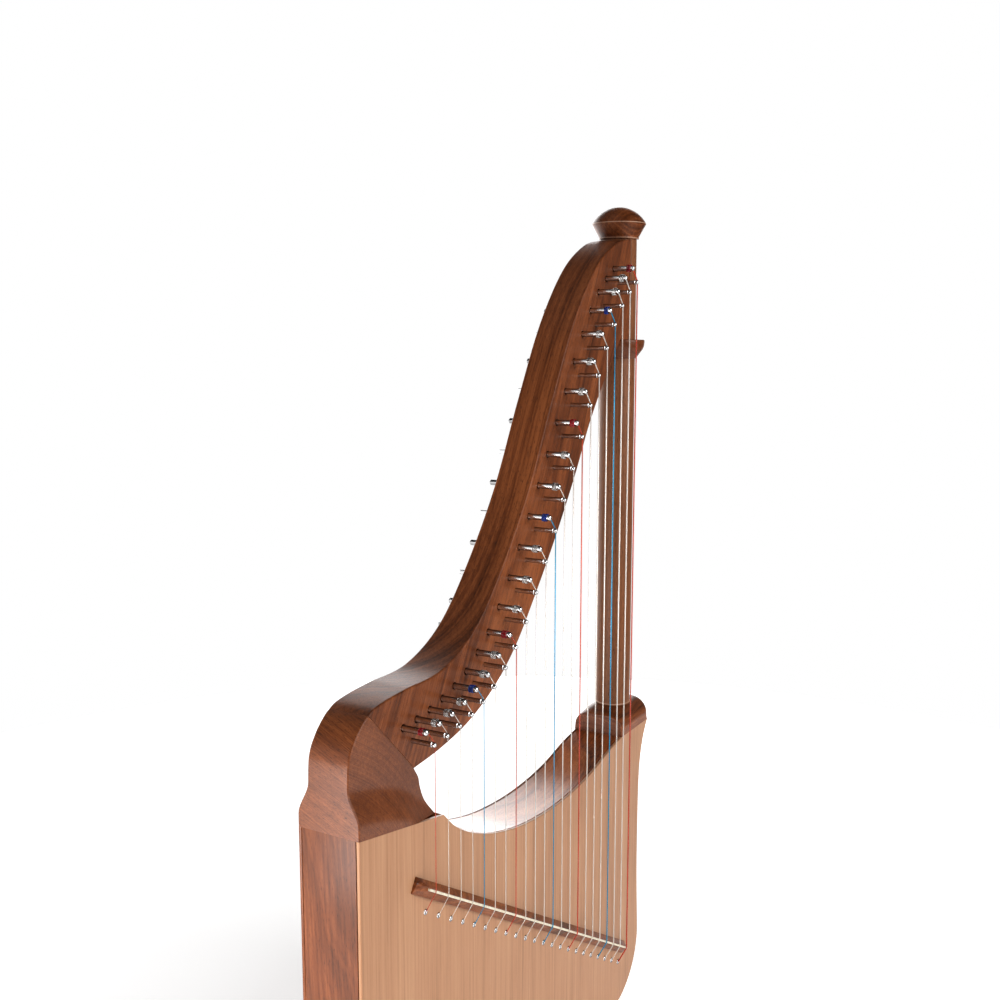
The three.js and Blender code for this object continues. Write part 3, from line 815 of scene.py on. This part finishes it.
def make_light(name, position, size, power):
    data = bpy.data.lights.new(name, "AREA")
    data.shape = "RECTANGLE"
    data.size, data.size_y = size
    data.energy = power
    light = bpy.data.objects.new(name, data)
    light.location = position
    aim = (CAD_BOX[0] + CAD_BOX[1]) / 2 - Vector(position)
    light.rotation_euler = aim.to_track_quat("-Z", "Y").to_euler()
    light.visible_camera = False
    bpy.context.scene.collection.objects.link(light)


bpy.context.scene.view_settings.view_transform = "Standard"
bpy.context.scene.view_settings.gamma = 0.9
make_camera()
make_floor()
make_world()
make_light("key_softbox", (0.1, -2.1, 1.25), (2.0, 2.0), 59)
make_light("low_softbox", (-2.0, -0.7, 0.35), (0.9, 0.7), 6)
make_light("side_softbox", (-0.75, 0.1, 0.18), (0.5, 0.3), 5)
make_light("top_softbox", (-0.35, 0.25, 2.4), (1.2, 1.2), 2)


# ---- wooden frame ----------------------------------------

EDGE = 1.4
SOUNDBOARD_EDGE = 0.7
SOUND_HOLE_EDGE = 0.9
BACK_EDGE = 1.3
RIB_EDGE = 0.3
GLUED = 0.12
JOINT_GROOVE = 0.4
SEAM_DROP = 2.3
BORE_CLEARANCE = 0.45
BORE_EDGE = 0.5
BORE_SIDES = 20
SOUND_HOLE_SIDES = 72
COLUMN_SIDES = 96
PAST_NECK = 20


def neck():
    """The neck, bored for the pins and hollowed where it meets the round column."""
    bm = bmesh.new()
    top = spline(NECK_TOP)
    underside = spline(NECK_UNDERSIDE)
    outline = outline_of(
        (top, EDGE),
        (line(top[-1], (top[-1].x, COLLAR_TOP)), GLUED),
        (line((top[-1].x, COLLAR_TOP), underside[0]), GLUED),
        (underside, EDGE),
        (line(underside[-1], top[0]), JOINT_GROOVE),
    )
    bores = [(circle(tuning_pin_at(index), PIN_FRONT_RADIUS + BORE_CLEARANCE, BORE_SIDES),
              [BORE_EDGE] * BORE_SIDES) for index in range(STRINGS)]
    board(bm, outline, 0, NECK_BACK, bores)
    piece = finished(bm, "neck_finished", WALNUT_NECK, nodes=["neck"])
    cutter = bmesh.new()
    radius = COLUMN_RADIUS + GLUED
    low, high = COLLAR_TOP - PAST_NECK, COLUMN_TOP + PAST_NECK
    turned(cutter, [(0, low), (radius, low), (radius, high), (0, high)], COLUMN_SIDES,
           about_column)
    bmesh.ops.recalc_face_normals(cutter, faces=cutter.faces)
    cutter = new_object(cutter, "cope")
    cope = piece.modifiers.new("cope", "BOOLEAN")
    cope.operation = "DIFFERENCE"
    cope.solver = "EXACT"
    cope.object = cutter
    with bpy.context.temp_override(object=piece, active_object=piece):
        bpy.ops.object.modifier_move_to_index(modifier="cope", index=0)
        bpy.ops.object.modifier_apply(modifier="cope")
    bpy.data.objects.remove(cutter)


STEP_CURVE = spline(BOX_STEP, 1.5)
COVE_DEPTH = 24


def below_step(x, z):
    """How far, from 0 to 1, the shoulder has swollen from the neck to the soundbox."""
    spot = Vector((x, z))
    nearest = min(range(len(STEP_CURVE)), key=lambda i: (STEP_CURVE[i] - spot).length_squared)
    point = STEP_CURVE[nearest]
    along = STEP_CURVE[min(nearest + 1, len(STEP_CURVE) - 1)] - STEP_CURVE[max(nearest - 1, 0)]
    below = (spot - point).dot(Vector((along.y, -along.x)).normalized())
    share = min(max(below / COVE_DEPTH, 0), 1)
    return share * share * (3 - 2 * share)


def shoulder_block():
    bm = bmesh.new()
    outside = spline(SHOULDER_OUTSIDE)
    inside = spline(SHOULDER_INSIDE)
    outline = outline_of(
        (line(BOX_SEAM[0], SHOULDER_OUTSIDE[0], 2.5), EDGE),
        (outside, EDGE),
        (line(outside[-1], inside[0]), JOINT_GROOVE),
        (inside, EDGE),
        (line(BOX_SEAM[1], BOX_SEAM[0]), GLUED),
    )
    board(bm, outline, lambda x, z: BOX_FRONT * below_step(x, z),
          lambda x, z: NECK_BACK + (BOX_BACK - NECK_BACK) * below_step(x, z), pitch=2.5)
    finished(bm, "shoulder_block_finished", WALNUT_SHOULDER, nodes=["shoulder_block"])


def column():
    bm = bmesh.new()
    profile = softened([(0, FOOT_TOP), (COLUMN_RADIUS + 0.8, FOOT_TOP),
                        (COLUMN_RADIUS + 0.7, FOOT_TOP + 0.8), (COLUMN_RADIUS, FOOT_TOP + 1.8),
                        (COLUMN_RADIUS, COLUMN_TOP), (0, COLUMN_TOP)], 0.4)
    turned(bm, profile, COLUMN_SIDES, about_column)
    finished(bm, "column_finished", WALNUT_COLUMN, nodes=["column"])


def column_cap():
    bm = bmesh.new()
    base = COLUMN_TOP
    rim = softened([(0, base), (18.4, base), (19.5, base + 0.8), (19.1, base + 2.2),
                    (26.2, base + 15), (24.6, base + 17.6)], 0.6)
    dome = spline([(24.6, base + 17.6), (21, base + 22), (15.5, base + 26.4), (8, base + 29.9),
                   (0, base + 31.2)], 1.2)
    turned(bm, rim + dome[1:], COLUMN_SIDES, about_column)
    finished(bm, "column_cap_finished", WALNUT_CAP, nodes=["column_cap"])


def column_collar():
    bm = bmesh.new()
    inner = COLUMN_RADIUS - 0.2
    swell = spline([(inner + 0.7, COLLAR_TOP - 18.4), (21.4, COLLAR_TOP - 14),
                    (25.4, COLLAR_TOP - 8), (26.5, COLLAR_TOP - 2)], 1.0)
    edge = softened([swell[-1], (26.3, COLLAR_TOP), (inner, COLLAR_TOP)], 1.0)
    turned(bm, [(inner, COLLAR_TOP - 18.4), *swell[:-1], *edge], COLUMN_SIDES, about_column)
    finished(bm, "column_collar_finished", WALNUT_COLLAR, nodes=["column_collar"])


def foot_block():
    """The section in y and z is rounded over at the front and the back, and its left end rises
    a little from its edge towards the column."""
    bm = bmesh.new()
    bottom = BOX_TOP_AT_COLUMN
    section = [(BOX_FRONT, bottom),
               *arc((BOX_FRONT + FOOT_ROUND, FOOT_TOP - FOOT_ROUND), FOOT_ROUND, 180, 90),
               *arc((BOX_BACK - FOOT_ROUND, FOOT_TOP - FOOT_ROUND), FOOT_ROUND, 90, 0),
               (BOX_BACK, bottom)]
    middle = (BOX_FRONT + BOX_BACK) / 2
    stations = [(FOOT_LEFT, 1.5, 5.0), (FOOT_LEFT + 0.45, 0.45, 4.7), (FOOT_LEFT + 1.5, 0, 4.3),
                (FOOT_LEFT + 8, 0, 2.2), (FOOT_LEFT + 16, 0, 0.5), (FOOT_LEFT + 22, 0, 0),
                (BOX_RIGHT - 5, 0, 0), (BOX_RIGHT - 1.5, 0.44, 0.5), (BOX_RIGHT - 0.4, 1.5, 1.6),
                (BOX_RIGHT, 3, 3)]
    rings = []
    for x, shrink, drop in stations:
        ring = []
        for y, z in section:
            lifted = (z - bottom) / (FOOT_TOP - bottom)
            inward = shrink * (1 if y < middle else -1) * min(1, 4 * lifted)
            ring.append(bm.verts.new(place(x, y + inward, z - (drop + shrink * 0.3) * lifted)))
        rings.append(ring)
    skin(bm, rings)
    bm.faces.new(rings[0])
    bm.faces.new(rings[-1])
    finished(bm, "foot_block_finished", WALNUT_DARK, nodes=["foot_block"], sharp=50)


# ---- soundbox --------------------------------------------

def box_outline(rounding):
    """The outline that the soundboard and the back panel share."""
    top = spline(BOX_TOP)
    side = spline(BOX_SIDE)
    right = BOX_SIDE[-1][0] - CORNER
    left = BOX_LEFT + CORNER
    level = BOX_BOTTOM + CORNER
    return outline_of(
        (line(BOX_SEAM[0], BOX_SEAM[1]), GLUED),
        (top, rounding),
        (line(top[-1], side[0]), GLUED),
        (side, rounding),
        (arc((right, level), CORNER, 0, -90, 3), rounding),
        (line((right, BOX_BOTTOM), (left, BOX_BOTTOM)), rounding),
        (arc((left, level), CORNER, -90, -180, 3), rounding),
        (line((BOX_LEFT, level), BOX_SEAM[0]), rounding),
    )


def soundboard():
    bm = bmesh.new()
    hole = circle((SOUND_HOLE["x"], SOUND_HOLE["z"]), SOUND_HOLE["radius"], SOUND_HOLE_SIDES)
    board(bm, box_outline(SOUNDBOARD_EDGE), BOX_FRONT, SOUNDBOARD_BACK,
          [(hole, [SOUND_HOLE_EDGE] * len(hole))])
    finished(bm, "soundboard_finished", SPRUCE, nodes=["soundboard"])


def back_panel():
    bm = bmesh.new()
    board(bm, box_outline(BACK_EDGE), BACK_PANEL_FRONT, BOX_BACK)
    finished(bm, "back_panel_finished", WALNUT_BACK, nodes=["back_panel"])


def rib(name, material, *sections):
    bm = bmesh.new()
    outline = outline_of(*[(section, RIB_EDGE) for section in sections])
    board(bm, outline, SOUNDBOARD_BACK + GLUE_LINE, BACK_PANEL_FRONT - GLUE_LINE)
    finished(bm, f"{name}_finished", material, nodes=[name])


def ribs():
    under_foot = BOX_TOP_AT_COLUMN - RIB
    top = spline(BOX_TOP)
    inner = beside(top, RIB)[::-1]
    corner = (BOX_RIGHT - CORNER_BLOCK_LEAN, under_foot)
    rib("upper_rib", WALNUT_RIB, top, line(top[-1], BOX_SIDE[0]), line(BOX_SIDE[0], corner),
        line(corner, inner[0]), inner, line(inner[-1], top[0]))

    level = BOX_BOTTOM + CORNER
    side = spline(BOX_SIDE[1:])
    side_inner = beside(side, RIB)[::-1]
    left_inner = BOX_LEFT + RIB
    rib("right_rib", WALNUT_SIDE, line(corner, side[0]), side, line(side[-1], side_inner[0]),
        side_inner, line(side_inner[-1], (side_inner[-1].x, under_foot)),
        line((side_inner[-1].x, under_foot), corner))
    top_inner = (left_inner, BOX_SEAM[0][1] - SEAM_DROP)
    rib("left_rib", WALNUT_SIDE, line(BOX_SEAM[0], top_inner),
        line(top_inner, (left_inner, level)),
        line((left_inner, level), (BOX_LEFT, level)), line((BOX_LEFT, level), BOX_SEAM[0]))

    right = BOX_SIDE[-1][0] - CORNER
    left = BOX_LEFT + CORNER
    rib("bottom_rib", WALNUT_RIB, arc((right, level), CORNER, 0, -90, 3),
        line((right, BOX_BOTTOM), (left, BOX_BOTTOM)), arc((left, level), CORNER, -90, -180, 3),
        line((BOX_LEFT, level), (left_inner, level)),
        arc((left, level), CORNER - RIB, -180, -90, 3),
        line((left, BOX_BOTTOM + RIB), (right, BOX_BOTTOM + RIB)),
        arc((right, level), CORNER - RIB, -90, 0, 3),
        line((right + CORNER - RIB, level), (right + CORNER, level)))


def closed(section, radius):
    """A closed section whose corners are all rounded."""
    middle = (Vector(section[0]) + Vector(section[-1])) / 2
    return softened([middle, *section, middle], radius, 4)[:-1]


def bridge():
    """The wooden bridge and the bone saddle let into its top."""
    bm = bmesh.new()
    base = BOX_FRONT
    top = BRIDGE_TOP + 1.6
    section = closed([(6, base), (6, base - 2.4), (1.9, top), (-1.9, top), (-6, base - 2.4),
                      (-6, base)], 0.8)
    bar(bm, section, beside_bridge(-BRIDGE_OVERHANG, 0),
        beside_bridge(BRIDGE_LENGTH + BRIDGE_OVERHANG, 0), 9)
    finished(bm, "bridge_finished", WALNUT_DARK, nodes=["bridge"])
    bm = bmesh.new()
    section = closed([(0.9, top + 1.2), (0.9, BRIDGE_TOP), (-0.9, BRIDGE_TOP),
                      (-0.9, top + 1.2)], 0.45)
    bar(bm, section, beside_bridge(-6, 0), beside_bridge(BRIDGE_LENGTH + 6, 0))
    finished(bm, "bridge_saddle", BONE)


def inner_bar(name, foot, top, base, depth, start, end, taper):
    bm = bmesh.new()
    section = closed([(foot / 2, base), (top / 2, base + depth), (-top / 2, base + depth),
                      (-foot / 2, base)], 1.0)
    bar(bm, section, start, end, taper)
    finished(bm, f"{name}_finished", SPRUCE_BARE, nodes=[name])


def inner_bars():
    drop = -HITCH_DROP * BRIDGE_AXIS.x
    inner_bar("string_bar", 14, 14, SOUNDBOARD_BACK, 8, beside_bridge(-30, drop),
              beside_bridge(BRIDGE_LENGTH + 14, drop), 0)
    inner_bar("soundboard_brace", 8, 5, SOUNDBOARD_BACK, 13, beside_bridge(142, 50),
              beside_bridge(412, 50), 24)
    inset_ends = RIB + 2
    inner_bar("back_brace", 10, 7, BACK_PANEL_FRONT, -11, (BOX_LEFT + inset_ends, -232),
              (BOX_SIDE[3][0] - inset_ends, -232), 24)


# ---- pins and strings ------------------------------------

KEY_END_TURN = 2.4
STRING_HOLE_AHEAD = math.radians(40)
SADDLE_REACH = 1.2


def squared(angle, width):
    """The distance from the middle to the edge of a square with rounded corners."""
    power = 7
    spread = abs(math.cos(angle)) ** power + abs(math.sin(angle)) ** power
    return width / 2 / spread ** (1 / power)


def tuning_pin(index):
    """A taper pin: rounded tip, round shaft, and a square end for the tuning key."""
    bm = bmesh.new()
    pin = tuning_pin_at(index)
    turn = KEY_END_TURN * index
    sides = 32
    tip = [(PIN_FRONT_RADIUS * math.sin(a), PIN_TIP + 1.9 * (1 - math.cos(a)))
           for a in (math.pi / 2 * step / 8 for step in range(9))]
    shaft = [(PIN_FRONT_RADIUS, -12), (PIN_FRONT_RADIUS, -1), (PIN_BACK_RADIUS, NECK_BACK),
             (PIN_BACK_RADIUS, PIN_HEAD["from"] - 1.2)]
    width = PIN_HEAD["width"]
    head = [(width, PIN_HEAD["from"] + 0.3), (width * 0.93, PIN_HEAD["to"] - 0.9),
            (width * 0.86, PIN_HEAD["to"] - 0.3), (width * 0.6, PIN_HEAD["to"])]
    angles = [2 * math.pi * step / sides for step in range(sides)]
    rings = [([radius] * sides, y) for radius, y in tip[1:] + shaft]
    rings += [([squared(a, across) for a in angles], y) for across, y in head]
    made = []
    for reaches, y in rings:
        spots = [(reach * math.cos(a + turn), reach * math.sin(a + turn))
                 for reach, a in zip(reaches, angles)]
        made.append([bm.verts.new(place(pin.x + x, y, pin.y + z)) for x, z in spots])
    skin(bm, made)
    end = bm.verts.new(place(pin.x, PIN_TIP, pin.y))
    for step in range(sides):
        bm.faces.new((end, made[0][step], made[0][(step + 1) % sides]))
    bm.faces.new(made[-1])
    node = f"tuning_pin_{index + 1:02d}"
    finished(bm, f"{node}_finished", CHROME, body=node, nodes=[node])


def leaving_angle(index):
    """The angle round both pins at which the string crosses from the one to the other."""
    apart = tuning_pin_at(index) - bridge_pin_at(index)
    lean = math.asin((PIN_FRONT_RADIUS - GROOVE_RADIUS) / apart.length)
    return math.atan2(apart.y, apart.x) - math.pi / 2 + lean


def coil(index):
    """The turns of string on a tuning pin, from its hole to where the string leaves."""
    bm = bmesh.new()
    pin = tuning_pin_at(index)
    radius = string_radius(index)
    reach = PIN_FRONT_RADIUS + radius
    turns = round(from_treble(index, *COIL_TURNS))
    leave = leaving_angle(index)
    first = leave + 2 * math.pi * turns + STRING_HOLE_AHEAD
    out = Vector((math.cos(first), math.sin(first)))
    begin = COIL_END + turns * TURN_PITCH * radius
    path = [Vector((pin.x + out.x * r, begin, pin.y + out.y * r)) for r in (-3.1, -1.5, 0.5, 1.6)]
    steps = 20 * turns + 3
    for step in range(steps + 1):
        share = step / steps
        angle = first + (leave - first) * share
        grown = reach if share > 0 else reach - 0.3
        y = begin + (COIL_END - begin) * share
        path.append(Vector((pin.x + grown * math.cos(angle), y, pin.y + grown * math.sin(angle))))
    tube(bm, path, radius, 8)
    slot = string_slot(index)
    finished(bm, f"string_coil_{index + 1:02d}", WOUND[slot],
             body=f"tuning_pin_{index + 1:02d}", sharp=80)


def bridge_pin(index):
    """A smooth steel pin with a groove for the string behind its ball tip."""
    bm = bmesh.new()
    pin = bridge_pin_at(index)
    centre = PIN_TIP + 0.1 + BRIDGE_PIN_BALL
    ball = [(BRIDGE_PIN_BALL * math.sin(a), centre - BRIDGE_PIN_BALL * math.cos(a))
            for a in (math.radians(13.5 * step) for step in range(11))]
    groove = [(GROOVE_RADIUS - 0.1, STRING_PLANE + 0.25), (GROOVE_RADIUS - 0.1, STRING_PLANE + 0.6),
              (BRIDGE_PIN_RADIUS + 0.2, STRING_PLANE + 1.1),
              (BRIDGE_PIN_RADIUS + 0.2, STRING_PLANE + 2.2),
              (BRIDGE_PIN_RADIUS, STRING_PLANE + 2.5), (BRIDGE_PIN_RADIUS, 4), (0, 4)]
    turned(bm, ball + groove, 24, about_pin(pin))
    finished(bm, f"bridge_pin_{index + 1:02d}", CHROME)


def string(index):
    """From the coil, round the groove of the bridge pin, down over the bridge and into its hole."""
    bm = bmesh.new()
    radius = string_radius(index)
    pin = bridge_pin_at(index)
    tuning = tuning_pin_at(index)
    leave = leaving_angle(index)
    across = Vector((math.cos(leave), math.sin(leave)))
    start = tuning + across * (PIN_FRONT_RADIUS + radius)
    path = [Vector((start.x, COIL_END, start.y))]
    on_pin = groove_reach(index)
    for step in range(7):
        angle = leave * (1 - step / 6)
        path.append(Vector((pin.x + on_pin * math.cos(angle), STRING_PLANE,
                            pin.y + on_pin * math.sin(angle))))
    x = pin.x + on_pin
    level = bridge_height_at(x)
    for share in (0.15, 0.4, 0.7, 0.95):
        path.append(Vector((x, STRING_PLANE, pin.y + (level + SADDLE_REACH - pin.y) * share)))
    hole = level - HITCH_DROP
    over_saddle = [(STRING_PLANE, level + SADDLE_REACH), (STRING_PLANE + 0.1, level),
                   (STRING_PLANE + 0.5, level - SADDLE_REACH)]
    into_hole = [(BOX_FRONT - 1.2, hole + 1.6), (BOX_FRONT - 0.3, hole + 0.4),
                 (BOX_FRONT + 1.5, hole), (BOX_FRONT + 6, hole)]
    path += [Vector((x, y, z)) for y, z in over_saddle + into_hole]
    tube(bm, path, radius, 10)
    slot = string_slot(index)
    node = f"string_{index + 1:02d}"
    finished(bm, f"{node}_finished", NYLON[slot], nodes=[node], sharp=80)


def eyelet(index):
    """The rolled metal rim of the hole where a string enters the soundboard."""
    bm = bmesh.new()
    x = bridge_pin_at(index).x + groove_reach(index)
    centre = Vector((x, bridge_height_at(x) - HITCH_DROP))
    inner = string_radius(index) + 0.35
    profile = [(inner, BOX_FRONT + 2), (inner, BOX_FRONT - 0.2)]
    profile += [(inner + 0.8 - 0.8 * math.cos(a), BOX_FRONT - 0.2 - 0.5 * math.sin(a))
                for a in (math.pi * step / 6 for step in range(1, 7))]
    profile += [(inner + 1.6, BOX_FRONT + 0.2)]
    turned(bm, profile, 24, about_pin(centre))
    finished(bm, f"string_eyelet_{index + 1:02d}", CHROME)


neck()
shoulder_block()
column()
column_cap()
column_collar()
foot_block()
soundboard()
back_panel()
ribs()
bridge()
inner_bars()
for number in range(STRINGS):
    tuning_pin(number)
    coil(number)
    bridge_pin(number)
    string(number)
    eyelet(number)
